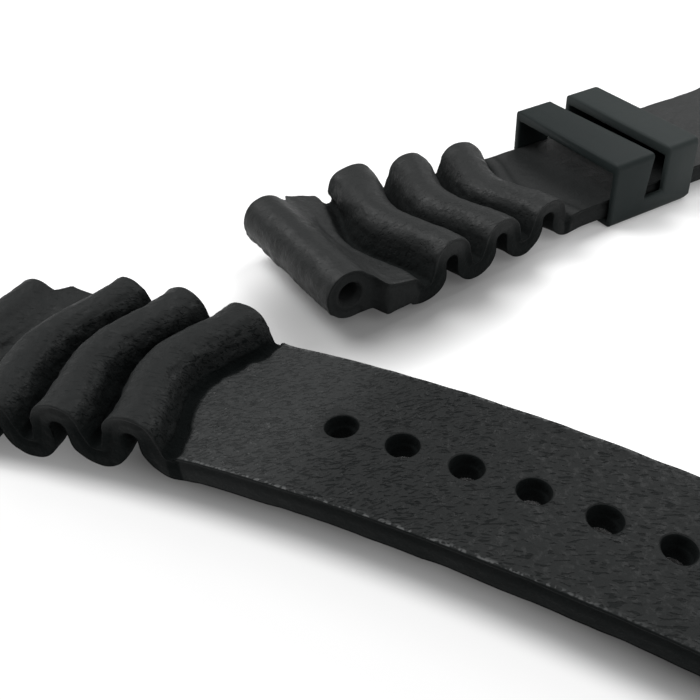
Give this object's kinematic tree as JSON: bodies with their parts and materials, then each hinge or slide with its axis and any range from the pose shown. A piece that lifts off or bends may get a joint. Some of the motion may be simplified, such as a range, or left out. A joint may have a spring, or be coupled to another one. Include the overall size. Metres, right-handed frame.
{
  "type": "silicone watch strap",
  "caption": "Black silicone diver's watch strap in two halves, with accordion folds at the lugs, a double keeper and a steel pin buckle on a spring bar.",
  "frame": {"origin": "middle of the buckle half's lug bore, on the bore's axis", "axes": "+X from that bore along the buckle half to the buckle, +Y along the bore, +Z out of the wrist"},
  "size_m": [0.1527, 0.1112, 0.0135],
  "materials": {
    "strap_rubber": "moulded silicone with a fine leather-like grain",
    "keeper_rubber": "smooth satin silicone",
    "buckle_steel": "brushed",
    "bar_steel": "turned"
  },
  "bodies": {
    "buckle_half": {"buckle_strap": "strap_rubber", "bar_tube": "bar_steel", "bar_spring": "bar_steel"},
    "tail_half": {"tail_strap": "strap_rubber"},
    "keeper": {"keeper": "keeper_rubber"},
    "buckle": {"buckle_frame": "buckle_steel"},
    "tongue": {"buckle_tongue": "buckle_steel"},
    "left_plunger": {"bar_plunger_left": "bar_steel"},
    "right_plunger": {"bar_plunger_right": "bar_steel"}
  },
  "joints": [
    {"name": "tail_lift", "type": "slide", "parent": "buckle_half", "child": "tail_half", "axis": [0, 0, 1], "range_m": [0, 0.05]},
    {"name": "keeper_slide", "type": "slide", "parent": "buckle_half", "child": "keeper", "axis": [1, 0, 0], "range_m": [-0.004, 0.019]},
    {"name": "buckle_hinge", "type": "hinge", "parent": "buckle_half", "child": "buckle", "pos_m": [0.086, 0, -0.0019], "axis": [0, -1, 0], "range_deg": [-50, 80]},
    {"name": "tongue_hinge", "type": "hinge", "parent": "buckle", "child": "tongue", "pos_m": [0.086, 0, -0.0019], "axis": [0, -1, 0], "range_deg": [0, 55]},
    {"name": "left_plunger_slide", "type": "slide", "parent": "buckle_half", "child": "left_plunger", "axis": [0, -1, 0], "range_m": [0, 0.0013], "stiffness_N_per_m": 800, "springref_m": -0.002, "deforming": ["bar_spring"]},
    {"name": "right_plunger_slide", "type": "slide", "parent": "buckle_half", "child": "right_plunger", "axis": [0, 1, 0], "range_m": [0, 0.0013], "stiffness_N_per_m": 800, "springref_m": -0.002, "deforming": ["bar_spring"]}
  ]
}
